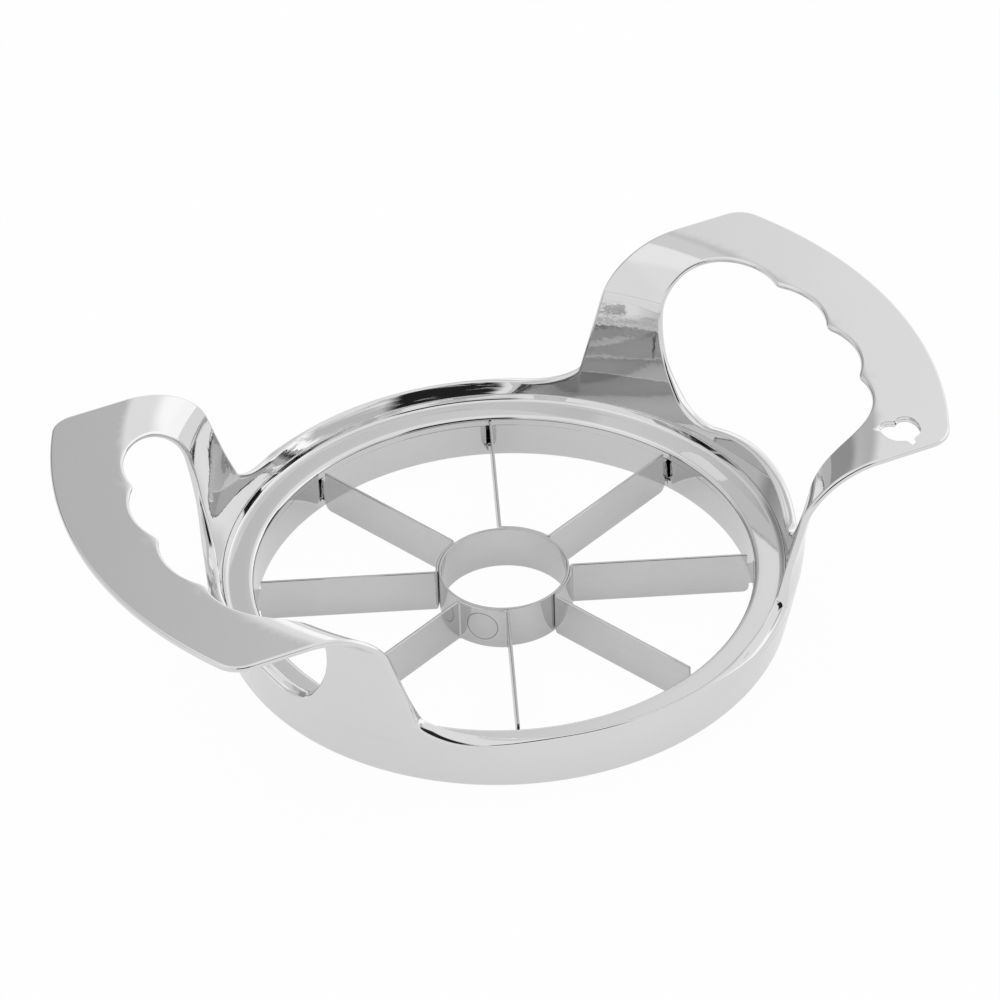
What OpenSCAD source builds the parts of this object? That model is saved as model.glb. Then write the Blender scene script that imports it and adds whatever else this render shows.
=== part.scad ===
// Apple slicer: a one-piece frame with two flared handles, a ring of eight
// radial cutting edges round a coring ring, and a cover ring that traps them.
// Millimetres. The origin is on the ring's axis, on the surface it stands on.
// X runs through both handles and Z points up.

/* [Ring] */
// Clear diameter inside the ring
clear_d = 93; // [80:0.5:105]
// Width of the ring at its base, from the clear hole to the outer face
ring_w = 6.1; // [5:0.1:8]
// Height of the cover ring's flat top above the base
ring_h = 9.2; // [8:0.1:12]
// Thickness of the outer wall, the legs and the grips
wall_t = 2.5; // [1.8:0.1:3.2]
// Lean of the outer wall away from the axis, in degrees
wall_lean = 12.5; // [6:0.5:18]
// Height of the rounded lip above the cover ring
lip_rise = 3.1; // [2.4:0.1:4]
// Rounding of the outer lower edge
base_round = 2.4; // [0.8:0.1:2.8]
// Bevel of the inner lower edge
base_bevel = 0.5; // [0.2:0.1:0.8]
// Thickness of the slotted inner wall
inner_wall_t = 1.8; // [1.4:0.1:2.2]
// Thickness of the floor of the channel
floor_t = 1.8; // [1.2:0.1:2.2]

/* [Cover ring] */
// Thickness of the cover ring
cover_t = 1.9; // [1.5:0.1:2.4]
// Height of the cover ring's turned-up rim above its flat top
rim_rise = 1.2; // [0.8:0.1:1.6]
// Thickness of the turned-up rim at its top
rim_t = 0.35; // [0.3:0.05:0.6]
// Hollow rounding between the flat top and the rim
rim_hollow = 0.8; // [0.4:0.1:0.8]
// Rounding of the cover ring's inner upper edge
cover_round = 0.7; // [0.3:0.1:1]
// Gap between the cover ring and the frame's wall
cover_gap = 0.03; // [0.01:0.01:0.1]

/* [Handles] */
// Overall height, up to the top of the grips
overall_h = 41.8; // [36:0.2:50]
// Width across each handle
handle_w = 82; // [72:0.2:92]
// Bend between the legs and the grips, on the upper side
bend_r = 13; // [9:0.5:16]
// Flat part of the grip, from the end of the bend to the outer edge
grip_flat = 12.4; // [8:0.2:18]
// Rounding of the grip's corners
tip_r = 5.5; // [2:0.5:8]
// Rounding between the legs and the lip
root_r = 9; // [5:0.5:11]

/* [Finger openings] */
// Width of the grip bar, from its outer edge to the finger points
bar_w = 14; // [12:0.1:16]
// Angle between the finger points, seen from the ring's axis
finger_pitch = 13.9; // [11:0.1:15]
// Depth of the two middle finger hollows beyond the points
finger_depth = 1.8; // [1:0.1:3]
// Radius of the two end finger hollows
end_hollow_r = 13; // [11:0.5:15]
// Width of each leg where it meets the grip
leg_w = 9.8; // [8:0.2:12]
// Height of the middle of the sill above the cover ring
sill_rise = 6.2; // [5.8:0.1:8]
// Drop from the middle of the sill to the dips at its ends
sill_drop = 2.5; // [1:0.1:2.6]
// Rounding of the opening's lower corners
dip_r = 8; // [5:0.5:10]

/* [Hanging hole] */
// Width of the fruit-shaped hole
fruit_w = 7.8; // [6:0.2:9]
// Length of its stem
stem_l = 1.3; // [0.6:0.1:2]
// Width of its stem
stem_w = 1.6; // [0.8:0.1:2]
// Distance of its centre from the handle's side edge
fruit_inset = 6.1; // [5.6:0.1:8]
// Distance of its centre from the grip's outer edge
fruit_back = 9; // [7:0.1:11]

/* [Blades] */
// Inside diameter of the coring ring
core_d = 23.4; // [18:0.2:30]
// Thickness of the blade strip and of the coring ring
strip_t = 0.5; // [0.3:0.05:0.8]
// Height of the cutting edges above the base
edge_lift = 0.3; // [0.1:0.1:0.8]
// Drop from the cover ring's flat top to the blades' upper edges
top_drop = 0.1; // [0:0.1:0.6]
// Gap between the lapped strip and the coring ring
lap_gap = 0.02; // [0.01:0.01:0.05]
// Gap from the blades' upper corners to the cover ring
upper_gap = 1.2; // [0.6:0.1:1.6]
// Gap from the blades' lower corners to the inner wall
lower_gap = 0.9; // [0.5:0.1:1.4]
// Rounding of the blades' lower corners
corner_r = 1.2; // [0.5:0.1:1.5]
// Height of the tabs' lower edges above the base
tab_lift = 2.4; // [1.6:0.1:3]
// Gap at the tabs' ends, and above and below them
tab_gap = 0.1; // [0.05:0.05:0.2]
// Width of the slots in the inner wall
slot_w = 1.4; // [1:0.1:2]

/* [Hidden] */
$fn = 64;
eps = 0.01;

// Blades: one leg every 45 degrees, so two legs to each of the four strips
pair_count = 4;
pair_turn = 360 / pair_count;
leg_turn = pair_turn / 2;

// Ring, in radius and height
clear_r = clear_d / 2;
seat_z = ring_h - cover_t;
slope = tan(wall_lean);
half_t = wall_t / 2;
function wall_out(z) = clear_r + ring_w + z * slope;
function wall_in(z) = wall_out(z) - wall_t / cos(wall_lean);
function wall_mid(z) = (wall_out(z) + wall_in(z)) / 2;
// Unit vector across the leaning wall, outwards
across = [cos(wall_lean), -sin(wall_lean)];
lip_c = [wall_mid(ring_h + lip_rise - half_t), ring_h + lip_rise - half_t];
base_c = [wall_out(base_round) - base_round / cos(wall_lean), base_round];

// Handle bend: its centre is below the grip and outside the leg
bend_z = overall_h - bend_r;
bend_c = [wall_in(bend_z) + bend_r / cos(wall_lean), bend_z];
reach = bend_c[0] + grip_flat;
hand_y = handle_w / 2;
// Half the angle swept before a handle is trimmed to its width
handle_sweep = 80;
tip_c = [sqrt(pow(reach - tip_r, 2) - pow(hand_y - tip_r, 2)), hand_y - tip_r];

// Finger opening, in plan
open_y = hand_y - leg_w;
point_r = reach - bar_w;
function point(i) = point_r * [cos(i * finger_pitch), sin(i * finger_pitch)];
finger_half = point_r * sin(finger_pitch / 2);
finger_rise = point_r + finger_depth - point_r * cos(finger_pitch / 2);
finger_r = (pow(finger_half, 2) + pow(finger_rise, 2)) / (2 * finger_rise);
end_y = open_y - end_hollow_r;
end_x = point(1)[0] - sqrt(pow(end_hollow_r, 2) - pow(point(1)[1] - end_y, 2));

// Finger opening, seen along X: an arch turned upside down, with a raised sill
arch_c = [0, bend_z + 0.55 * bend_r];
sill_z = ring_h + sill_rise;
dip_z = sill_z - sill_drop + dip_r;
dip_y = sqrt(pow(open_y - dip_r, 2) - pow(arch_c[1] - dip_z, 2));
dip_c = [dip_y, dip_z];
// The sill is an arc that meets both corners smoothly
sill_d = dip_z - sill_z;
sill_r = (pow(dip_y, 2) + pow(sill_d, 2) - pow(dip_r, 2)) / (2 * (dip_r - sill_d));
sill_c = [0, sill_z - sill_r];
dip_turn = -atan2(arch_c[1] - dip_z, dip_y);
sill_turn = atan2(dip_z - sill_c[1], dip_y);
// Points on an arc from angle a to angle b, leaving out the first
arc_steps = 10;
function arc(c, r, a, b) =
    [for (i = [1 : arc_steps]) let (t = a + (b - a) * i / arc_steps) c + r * [cos(t), sin(t)]];

// Hanging hole, in plan
lobe_r = 0.28 * fruit_w;
shoulder_r = 0.31 * fruit_w;
lobe_y = 0.16 * fruit_w;
fruit_y = fruit_inset - hand_y;
fruit_x = sqrt(pow(reach - fruit_back, 2) - pow(fruit_y, 2));

// Coring ring and blades
core_r = core_d / 2;
lap_r = core_r + strip_t + lap_gap;
blade_z0 = edge_lift;
blade_z1 = ring_h - top_drop;
tab_z1 = seat_z - tab_gap;
tab_end = clear_r + inner_wall_t - tab_gap;

// Colours
chrome = [0.80, 0.80, 0.81];
steel = [0.70, 0.70, 0.71];

// Cross-section of the ring: inner wall, floor, leaning outer wall, round lip
module ring_section() {
    difference() {
        union() {
            polygon([[clear_r, base_bevel], [clear_r + base_bevel, 0], [base_c[0], 0],
                     base_c + base_round * across, lip_c + half_t * across,
                     lip_c - half_t * across, [wall_in(seat_z), seat_z], [clear_r, seat_z]]);
            translate(base_c) circle(base_round);
            translate(lip_c) circle(half_t);
        }
        polygon([[clear_r + inner_wall_t, floor_t], [wall_in(floor_t), floor_t],
                 [wall_in(seat_z), seat_z], [wall_in(seat_z), seat_z + eps],
                 [clear_r + inner_wall_t, seat_z + eps]]);
    }
}

// Cross-section of a handle: leg, bend and grip, all of one thickness
module handle_section() {
    polygon([lip_c + half_t * across, bend_c - (bend_r - wall_t) * across,
             bend_c - bend_r * across, lip_c - half_t * across]);
    intersection() {
        translate(bend_c) difference() {
            circle(bend_r);
            circle(bend_r - wall_t);
        }
        polygon([bend_c, bend_c - 2 * bend_r * across,
                 bend_c + 2 * bend_r * [-1, 1], bend_c + [0, 2 * bend_r]]);
    }
    translate([bend_c[0], overall_h - wall_t]) square([grip_flat, wall_t]);
}

// Outline, seen along X, carried through one handle
module along_x() {
    rotate([90, 0, 90]) linear_extrude(reach + 1) children();
}

// What is cut from one side of a handle, down to a rounded corner at the lip
module side_waste() {
    translate([0, hand_y, lip_c[1] + root_r]) cube([reach + 1, reach, overall_h]);
    translate([0, hand_y + root_r, lip_c[1] - half_t]) cube([reach + 1, reach, overall_h]);
    along_x() intersection() {
        translate([hand_y + root_r, lip_c[1] + root_r]) circle(root_r);
        translate([hand_y, lip_c[1]]) square(root_r + eps);
    }
}

// What is cut from a handle's square corners, in plan
module tip_waste() {
    difference() {
        polygon([tip_c, [tip_c[0], hand_y + 1], [reach + 1, hand_y + 1],
                 [reach + 1, tip_c[1] * reach / norm(tip_c)],
                 tip_c * reach / norm(tip_c)]);
        translate(tip_c) circle(tip_r);
    }
}

// Opening in the grip, in plan: four finger hollows between three points
module grip_opening() {
    for (side = [-1, 1]) {
        translate([end_x, side * end_y]) circle(end_hollow_r);
        rotate(side * finger_pitch / 2)
            translate([point_r + finger_depth - finger_r, 0]) circle(finger_r);
    }
    polygon([[0, -open_y], [end_x, -open_y], [end_x, -end_y],
             point(-1), point(0), point(1),
             [end_x, end_y], [end_x, open_y], [0, open_y]]);
}

// Opening between the legs, seen along X: arched sides, rounded dips and a raised sill
module leg_opening() {
    half = concat([[open_y, arch_c[1] + eps]],
                  arc(arch_c, open_y, 0, dip_turn),
                  arc(dip_c, dip_r, dip_turn, sill_turn - 180),
                  arc(sill_c, sill_r, sill_turn, 90));
    polygon(concat(half, [for (i = [len(half) - 2 : -1 : 0]) [-half[i][0], half[i][1]]]));
}

// Fruit-shaped hole: two lobes at one end, two shoulders at the other, and a stem
module fruit() {
    for (side = [-1, 1]) {
        translate([side * (fruit_w / 2 - lobe_r), lobe_y]) circle(lobe_r);
        translate([side * (fruit_w / 2 - shoulder_r), -lobe_y]) circle(shoulder_r);
    }
    square([fruit_w, 2 * lobe_y], center = true);
    translate([-stem_w / 2, -lobe_y - shoulder_r - stem_l]) square([stem_w, shoulder_r + stem_l]);
}

// Handle without its opening
module handle_plate() {
    difference() {
        rotate(-handle_sweep) rotate_extrude(angle = 2 * handle_sweep) handle_section();
        for (side = [0, 1]) mirror([0, side, 0]) {
            side_waste();
            linear_extrude(overall_h + 1) tip_waste();
        }
    }
}

module handle() {
    difference() {
        handle_plate();
        translate([0, 0, arch_c[1]]) linear_extrude(overall_h) grip_opening();
        along_x() leg_opening();
    }
}

module hanging_hole() {
    translate([fruit_x, fruit_y, bend_z]) linear_extrude(overall_h) fruit();
}

module blade_slots() {
    for (i = [0 : 2 * pair_count - 1]) rotate((i + 0.5) * leg_turn) {
        translate([clear_r - 1, -slot_w / 2, tab_lift - tab_gap]) {
            cube([inner_wall_t + 1 + eps, slot_w, seat_z]);
        }
    }
}

module frame() {
    color(chrome) union() {
        difference() {
            rotate(90) rotate_extrude() ring_section();
            intersection() {
                blade_slots();
                cylinder(seat_z + eps, r = clear_r + inner_wall_t + eps);
            }
        }
        difference() {
            handle();
            hanging_hole();
        }
        rotate(180) handle();
    }
}

// Cover ring: a flat ring with a rounded inner edge and a turned-up rim
module cover_ring() {
    rim_z = ring_h + rim_rise;
    rim_x = wall_in(ring_h) - cover_gap - rim_t - rim_hollow;
    color(chrome) rotate_extrude() {
        translate([clear_r + cover_round, ring_h - cover_round]) circle(cover_round);
        polygon([[clear_r, seat_z], [wall_in(seat_z) - cover_gap, seat_z],
                 [wall_in(ring_h) - cover_gap, ring_h], [clear_r + cover_round, ring_h],
                 [clear_r + cover_round, ring_h - cover_round], [clear_r, ring_h - cover_round]]);
        difference() {
            polygon([[rim_x, ring_h - eps], [wall_in(ring_h) - cover_gap, ring_h - eps],
                     [wall_in(rim_z) - cover_gap, rim_z], [wall_in(rim_z) - cover_gap - rim_t, rim_z],
                     [rim_x + rim_hollow, ring_h + rim_hollow], [rim_x, ring_h + rim_hollow]]);
            translate([rim_x, ring_h + rim_hollow]) circle(rim_hollow);
        }
    }
}

module core_ring() {
    color(steel) difference() {
        translate([0, 0, blade_z0]) cylinder(blade_z1 - blade_z0, r = core_r + strip_t);
        cylinder(ring_h + 1, r = core_r);
    }
}

// Strip seen from above: two legs, and between them a lap that follows the coring ring
module strip_plan() {
    for (turn = [0, leg_turn]) rotate(turn) {
        translate([lap_r + strip_t / 2, -strip_t / 2]) square([tab_end - lap_r - strip_t / 2, strip_t]);
    }
    difference() {
        intersection() {
            circle(lap_r + strip_t);
            polygon([[0, 0], [2 * lap_r, 0], 2 * lap_r * [cos(leg_turn), sin(leg_turn)]]);
        }
        circle(lap_r);
    }
}

// Waste at a leg's outer end, in radius and height: above the tab, and below it to a rounded corner
module end_waste() {
    low_x = clear_r - lower_gap;
    corner_z = blade_z0 + corner_r;
    translate([clear_r - upper_gap, tab_z1]) square([upper_gap + ring_w, ring_h]);
    polygon(concat([[clear_r + ring_w, tab_lift], [low_x, tab_lift], [low_x, corner_z]],
                   arc([low_x - corner_r, corner_z], corner_r, 0, -90),
                   [[low_x - corner_r, -corner_r], [clear_r + ring_w, -corner_r]]));
}

module blade_pair(i) {
    color(steel) rotate((i - 1) * pair_turn + leg_turn / 2) difference() {
        translate([0, 0, blade_z0]) linear_extrude(blade_z1 - blade_z0) strip_plan();
        for (turn = [0, leg_turn]) rotate([90, 0, turn]) {
            linear_extrude(2 * strip_t, center = true) end_waste();
        }
    }
}

frame();
cover_ring();
core_ring();
blade_pair(1);  // blade_pair_1
blade_pair(2);  // blade_pair_2
blade_pair(3);  // blade_pair_3
blade_pair(4);  // blade_pair_4
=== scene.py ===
import math

import bmesh
import bpy
from mathutils import Matrix, Vector


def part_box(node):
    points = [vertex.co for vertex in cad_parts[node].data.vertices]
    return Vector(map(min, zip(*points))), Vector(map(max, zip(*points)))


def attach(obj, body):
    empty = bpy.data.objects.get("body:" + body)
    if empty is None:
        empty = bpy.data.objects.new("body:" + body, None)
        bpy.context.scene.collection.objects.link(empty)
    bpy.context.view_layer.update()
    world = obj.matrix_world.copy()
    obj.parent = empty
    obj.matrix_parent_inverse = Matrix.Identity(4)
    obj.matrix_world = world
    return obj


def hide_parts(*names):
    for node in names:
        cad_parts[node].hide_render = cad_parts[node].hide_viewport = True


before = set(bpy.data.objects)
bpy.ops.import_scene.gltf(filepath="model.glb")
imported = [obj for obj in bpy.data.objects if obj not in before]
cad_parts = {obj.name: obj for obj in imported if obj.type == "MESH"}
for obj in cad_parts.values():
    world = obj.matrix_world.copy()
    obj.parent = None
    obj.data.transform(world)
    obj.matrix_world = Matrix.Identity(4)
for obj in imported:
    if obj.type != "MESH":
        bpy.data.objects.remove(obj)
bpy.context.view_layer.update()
mm = 0.001  # sizes are given in mm, and a mesh is in metres


# Small helpers for modelling

def only(piece):
    bpy.ops.object.select_all(action="DESELECT")
    piece.select_set(True)
    bpy.context.view_layer.objects.active = piece
    return piece


def named(name):
    piece = bpy.context.object
    piece.name = name
    piece.data.name = name
    return piece


def editing(piece):
    only(piece)
    bpy.ops.object.mode_set(mode="EDIT")
    bpy.ops.mesh.select_mode(type="VERT")
    bpy.ops.mesh.select_all(action="SELECT")


def doneEditing():
    bpy.ops.object.mode_set(mode="OBJECT")


def pick(piece, domain, wanted):
    # in edit mode, selects the faces, edges or vertices that wanted() says
    bpy.ops.mesh.select_mode(type={"faces": "FACE", "edges": "EDGE", "verts": "VERT"}[domain])
    bpy.ops.mesh.select_all(action="DESELECT")
    edited = bmesh.from_edit_mesh(piece.data)
    for item in getattr(edited, domain):
        if wanted(item):
            item.select_set(True)
    edited.select_flush_mode()
    bmesh.update_edit_mesh(piece.data)


def useModifier(piece, kind, **settings):
    only(piece)
    modifier = piece.modifiers.new(kind.lower(), kind)
    for key, value in settings.items():
        setattr(modifier, key, value)
    bpy.ops.object.modifier_apply(modifier=modifier.name)


def joined(pieces):
    only(pieces[0])
    for piece in pieces[1:]:
        piece.select_set(True)
    bpy.ops.object.join()
    return pieces[0]


def gridPiece(name, columns, rows, place, isLoose=None):
    # a grid whose crossings are put where place(column, row) says, with a share of the full thickness,
    # and whose loose rows can be evened out later
    bpy.ops.object.select_all(action="DESELECT")
    bpy.ops.mesh.primitive_grid_add(x_subdivisions=columns, y_subdivisions=rows, size=1)
    piece = named(name)
    fullness = piece.vertex_groups.new(name="fullness")
    loose = piece.vertex_groups.new(name="loose") if isLoose else None
    for vertex in piece.data.vertices:
        column = round((vertex.co.x + 0.5) * columns)
        row = round((vertex.co.y + 0.5) * rows)
        x, y, share = place(column, row)
        vertex.co = (x, y, 0)
        fullness.add([vertex.index], share, "REPLACE")
        if loose and isLoose(row):
            loose.add([vertex.index], 1, "REPLACE")
    return piece


def spunPiece(name, outline, steps, isLoop=True):
    # a ring: a circle's points laid on an outline of radius and height, then spun about Z
    seam = 0.001 * mm  # within which the spin's first and last outline are one
    bpy.ops.object.select_all(action="DESELECT")
    bpy.ops.mesh.primitive_circle_add(vertices=len(outline), radius=1)
    piece = named(name)
    for vertex, (radius, height) in zip(piece.data.vertices, outline):
        vertex.co = (radius * mm, 0, height * mm)
    editing(piece)
    if not isLoop:
        ends = {0, len(outline) - 1}
        pick(piece, "edges", lambda edge: {v.index for v in edge.verts} == ends)
        bpy.ops.mesh.delete(type="EDGE")
        bpy.ops.mesh.select_mode(type="VERT")
        bpy.ops.mesh.select_all(action="SELECT")
    bpy.ops.mesh.spin(steps=steps, angle=2 * math.pi, center=(0, 0, 0), axis=(0, 0, 1))
    bpy.ops.mesh.select_all(action="SELECT")
    bpy.ops.mesh.remove_doubles(threshold=seam)
    bpy.ops.mesh.normals_make_consistent(inside=False)
    doneEditing()
    return piece


def arcPoints(centre, radius, start, end, count):
    # count points of an arc in degrees, leaving out the first
    turns = [math.radians(start + (end - start) * k / count) for k in range(1, count + 1)]
    return [(centre[0] + radius * math.cos(t), centre[1] + radius * math.sin(t)) for t in turns]


def evenSteps(start, end, count):
    # count numbers in even steps up to end, leaving out start
    return [start + (end - start) * (k / count) for k in range(1, count + 1)]


def linePoints(start, end, count):
    return list(zip(*[evenSteps(a, b, count) for a, b in zip(start, end)]))


def bearing(origin, point):
    return math.degrees(math.atan2(point[1] - origin[1], point[0] - origin[0]))


def shadeSmooth(piece, sharpAngle):
    only(piece)
    bpy.ops.object.shade_smooth_by_angle(angle=math.radians(sharpAngle))


def polish(piece, sharpAngle):
    # smooth shading, with the broad faces keeping their own direction beside the rounded edges
    shadeSmooth(piece, sharpAngle)
    useModifier(piece, "WEIGHTED_NORMAL", weight=100, keep_sharp=True)


def ramp(value, start, end):
    # 0 before start, 1 past end and even in between
    return min(max((value - start) / (end - start), 0), 1)


def eased(share):
    return share * share * (3 - 2 * share)


# Frame: a ring with a leaning wall that grows into two handles

frameShape = {
    "clearRadius": 46.5,
    "wallOut": 52.54,     # outer face of the wall at the base
    "wall": 2.5,
    "lean": 12.5,         # degrees
    "bend": 13,           # upper side of the bend between leg and grip
    "lip": 12.62,         # top edge of the wall
    "lipRound": 0.35,     # depth of the rounding of the free lip
    "lipWide": 1.15,      # the same across the sheet's full thickness
    "lipBand": 2.25,      # width of the rows that shape the free lip
    "lipFrom": 55,        # degrees from a handle's middle to where the lip starts to thin
    "lipFull": 76,
    "bevelFrom": 10.13,   # start of the bevel inside the lip
    "bevelSlope": 0.3,    # at its start
    "bevelCurve": 0.1,    # gain of slope per mm
    "bevelCrease": 0.03,  # half the width of the crease at its start
    "ridge": 0.1,         # least thickness of the lip
    "plumbRun": 1.3,      # length over which the lip's outer face turns upright
    "plumbRows": 4,       # rows over that length
    "edgeRound": 0.6,     # depth of the rounding of the handles and their openings
    "edgeWide": 1.05,     # the same across the sheet's full thickness
    "thinRight": (1.2, 0.0),   # how much thinner the right handle is, below and above
    "thinLeft": (0.6, 0.6),
    "thinFrom": 14,       # distances along the sheet between which the handles get thin
    "thinFull": 24,
    "bow": 1.5,           # degrees by which the legs' inner faces are seen to curve before the bend
    "edgeBand": 1.35,     # width of the rows that shape an edge
    "edgeRows": 5,        # rows of a rounded edge
    "innerRows": 6,       # rows between an opening's edge and the outer edge
    "evening": 60,        # rounds in which those are evened out
    "sharpAngle": 40,     # degrees past which an edge is shaded sharp
    "handleWidth": 82,
    "rootTurn": 62,       # degrees from a handle's middle to the start of its root
    "rootRound": 7.9,     # first part of the root's curve
    "rootTight": 2.2,     # last part, where it meets the handle's side
    "rootRoll": 1.0,      # extra depth of the rounding half way along the root
    "rootLean": 0.8,      # how far the root's rounding is left to the outer face, 1 being all of it
    "rootSpan": (43, 48, 60, 66),  # degrees from a handle's middle where that sets in and runs out
    "tipRound": 5.5,
    "bar": 14.35,         # grip's outer edge to the finger points before rounding
    "fingerPitch": 13.9,  # degrees
    "fingerDepth": 2.06,
    "fingerRound": 2.5,
    "endHollow": 13.2,
    "leg": 9.8,
    "sill": 15.4,
    "sillDrop": 2.6,
    "dipRound": 8,
    "archHeight": 35.95,
    "joint": 7.8,         # height at which the ring's spun part takes over
    "step": 2,            # degrees between the ring's columns
    "gather": 0.8,        # how much closer the columns are under the middle of a sill
    "seat": 7.3,
    "seatBevel": 0.15,
    "floor": 1.8,
    "innerWall": 1.8,
    "baseRound": 2.4,
    "baseBevel": 0.5,
    "boreRows": 2,        # rows of the clear bore
    "baseSteps": 8,       # steps of the rounding at the base
    "wallRows": 4,        # rows of the outer face up to the joint
    "slotWidth": 1.15,
    "slotFoot": 2.3,
    "slotCount": 8,
    "cutPast": 1,         # how far a cutter reaches past the metal
    "slotAside": [-0.3, 0.3, 0.2, 0, 0, 0, 0, 0],  # each slot beside its blade
}
shape = frameShape  # a short name, as most sizes are the frame's
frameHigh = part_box("frame")[1]
topHeight = frameHigh.z / mm
reach = frameHigh.x / mm
leanSin = math.sin(math.radians(shape["lean"]))
leanCos = math.cos(math.radians(shape["lean"]))
half = shape["wall"] / 2

# middle line of the sheet: a leaning line, a bend and a level grip
wallFoot = shape["wallOut"] - half / leanCos
bendHeight = topHeight - shape["bend"]
bendMid = shape["bend"] - half
bendRadius = wallFoot + bendHeight * leanSin / leanCos + bendMid / leanCos
legLength = (bendHeight + bendMid * leanSin) / leanCos
bendStart = math.radians(shape["lean"])
bendLength = bendMid * (math.pi / 2 - bendStart)
jointAlong = shape["joint"] / leanCos
lipAlong = shape["lip"] / leanCos
bevelAlong = shape["bevelFrom"] / leanCos
flatRadius = 60.0  # radius at which the sheet is laid flat


def sheetPoint(along, lift=0.0):
    # radius and height of a point of the sheet, lift being towards its upper or inner face
    if along < legLength:
        radius, height = wallFoot + along * leanSin, along * leanCos
        across = (-leanCos, leanSin)
    elif along < legLength + bendLength:
        turn = bendStart + (along - legLength) / bendMid
        across = (-math.cos(turn), math.sin(turn))
        radius, height = bendRadius + bendMid * across[0], bendHeight + bendMid * across[1]
    else:
        radius, height = bendRadius + along - legLength - bendLength, bendHeight + bendMid
        across = (0.0, 1.0)
    return radius + across[0] * lift, height + across[1] * lift


def alongFromHeight(height):
    if height < legLength * leanCos:
        return height / leanCos
    return legLength + bendMid * (math.asin((height - bendHeight) / bendMid) - bendStart)


def alongFromRadius(radius):
    if radius > bendRadius:
        return legLength + bendLength + radius - bendRadius
    return legLength + bendMid * (math.acos((bendRadius - radius) / bendMid) - bendStart)


def fromSide(point):
    # a point seen along X, as width and height, to turn and distance along the sheet
    along = alongFromHeight(point[1])
    return math.asin(point[0] / sheetPoint(along)[0]), along


def fromAbove(point):
    # a point seen from above to turn and distance along the sheet
    return math.atan2(point[1], point[0]), alongFromRadius(math.hypot(*point))


def betweenHollows(first, firstRadius, second, secondRadius, pointRound):
    # centre of a circle that rounds the point between two hollows
    span = math.dist(first, second)
    a = firstRadius + pointRound
    b = secondRadius + pointRound
    run = (a * a - b * b + span * span) / (2 * span)
    rise = math.sqrt(a * a - run * run)
    ux, uy = (second[0] - first[0]) / span, (second[1] - first[1]) / span
    return first[0] + ux * run - uy * rise, first[1] + uy * run + ux * rise


# columns along half of an opening and along half of the edge round a handle: with the ring's own
# columns up to the root, the edge has as many as the opening
openingColumns = {"sill": 16, "dip": 22, "arch": 46, "side": 4, "endHollow": 36, "point": 10,
                  "hollow": 30, "nose": 6}
edgeColumns = {"root": 18, "rootTight": 6, "side": 50, "tip": 14, "end": 51}
rootSteps = edgeColumns["root"] + edgeColumns["rootTight"]


def openingOutline():
    # half of the finger opening, from the middle of its sill to the middle finger point
    openY = shape["handleWidth"] / 2 - shape["leg"]
    dipZ = shape["sill"] - shape["sillDrop"] + shape["dipRound"]
    drop = shape["archHeight"] - dipZ
    dipY = math.sqrt((openY - shape["dipRound"]) ** 2 - drop**2)
    under = dipZ - shape["sill"]
    sillRadius = (dipY**2 + under**2 - shape["dipRound"] ** 2) / (2 * (shape["dipRound"] - under))
    sillCentre = (0.0, shape["sill"] - sillRadius)
    dipTurn = -math.degrees(math.atan2(drop, dipY))
    sillTurn = bearing(sillCentre, (dipY, dipZ))
    count = openingColumns
    side = arcPoints(sillCentre, sillRadius, 90, sillTurn, count["sill"])
    side += arcPoints((dipY, dipZ), shape["dipRound"], sillTurn - 180, dipTurn, count["dip"])
    side += arcPoints((0.0, shape["archHeight"]), openY, dipTurn, 0, count["arch"])
    outline = [(0.0, alongFromHeight(shape["sill"]))] + [fromSide(p) for p in side]

    pointRadius = reach - shape["bar"]
    pitch = math.radians(shape["fingerPitch"])
    hollowHalf = pointRadius * math.sin(pitch / 2)
    hollowRise = pointRadius + shape["fingerDepth"] - pointRadius * math.cos(pitch / 2)
    hollow = (hollowHalf**2 + hollowRise**2) / (2 * hollowRise)
    middle = pointRadius + shape["fingerDepth"] - hollow
    middleCentre = (middle * math.cos(pitch / 2), middle * math.sin(pitch / 2))
    point = (pointRadius * math.cos(pitch), pointRadius * math.sin(pitch))
    endY = openY - shape["endHollow"]
    endX = point[0] - math.sqrt(shape["endHollow"] ** 2 - (point[1] - endY) ** 2)
    endCentre = (endX, endY)
    tip = betweenHollows(endCentre, shape["endHollow"], middleCentre, hollow, shape["fingerRound"])
    noseX = middleCentre[0] + math.sqrt((hollow + shape["fingerRound"]) ** 2 - middleCentre[1] ** 2)
    nose = (noseX, 0.0)
    archRadius = sheetPoint(alongFromHeight(shape["archHeight"]))[0]
    archX = math.sqrt(archRadius**2 - openY**2)
    above = linePoints((archX, openY), (endX, openY), count["side"])
    above += arcPoints(endCentre, shape["endHollow"], 90, bearing(endCentre, tip), count["endHollow"])
    tipTurn = bearing(tip, middleCentre) % 360
    above += arcPoints(tip, shape["fingerRound"], bearing(tip, endCentre), tipTurn, count["point"])
    hollowStart, hollowEnd = bearing(middleCentre, tip), bearing(middleCentre, nose)
    above += arcPoints(middleCentre, hollow, hollowStart, hollowEnd, count["hollow"])
    above += arcPoints(nose, shape["fingerRound"], bearing(nose, middleCentre), 180, count["nose"])
    return outline + [fromAbove(p) for p in above]


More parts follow.
